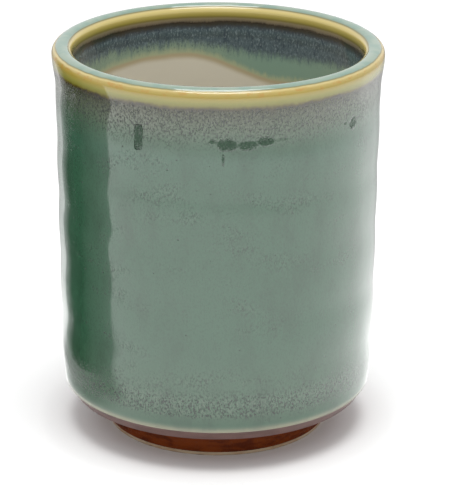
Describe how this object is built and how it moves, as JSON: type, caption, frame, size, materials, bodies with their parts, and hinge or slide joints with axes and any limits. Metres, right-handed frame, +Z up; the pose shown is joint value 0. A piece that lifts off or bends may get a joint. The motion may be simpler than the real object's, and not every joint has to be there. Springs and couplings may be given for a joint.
{
  "type": "brush pot",
  "caption": "Glazed stoneware pot, an open cylinder with a thick rounded lip on a low foot ring, for standing brushes and pens in.",
  "frame": {"origin": "on the pot's axis, in the plane that the foot ring rests on", "axes": "+Z up along the pot's axis, -Y towards the side with the three dark glaze marks"},
  "size_m": [0.084, 0.084, 0.101],
  "materials": {
    "stoneware": "bare fired stoneware, matt, cream",
    "celadon": "glossy grey-green celadon glaze with fine speckle",
    "rim_amber": "glossy amber glaze break below the lip",
    "lip_green": "glossy pale green glaze",
    "inside_amber": "glossy amber glaze, brown at its lower edge",
    "inside_dark": "glossy dark brown to streaked blue-grey glaze",
    "inside_green": "glossy green glaze run, thin and uneven at its lower edge",
    "liner_beige": "satin warm grey liner glaze",
    "slip_mauve": "satin mauve-brown slip",
    "slip_brown": "glossy iron-brown slip"
  },
  "bodies": {
    "root": {"clay_body": "stoneware", "foot_ring": "stoneware", "celadon_glaze": "celadon", "rim_band_outer": "rim_amber", "lip_glaze": "lip_green", "rim_band_inner": "inside_amber", "inner_dark_band": "inside_dark", "inner_green_run": "inside_green", "liner_glaze": "liner_beige", "chamfer_slip": "slip_mauve", "underside_slip": "slip_brown", "foot_slip": "slip_brown", "recess_slip": "slip_brown"}
  },
  "joints": []
}
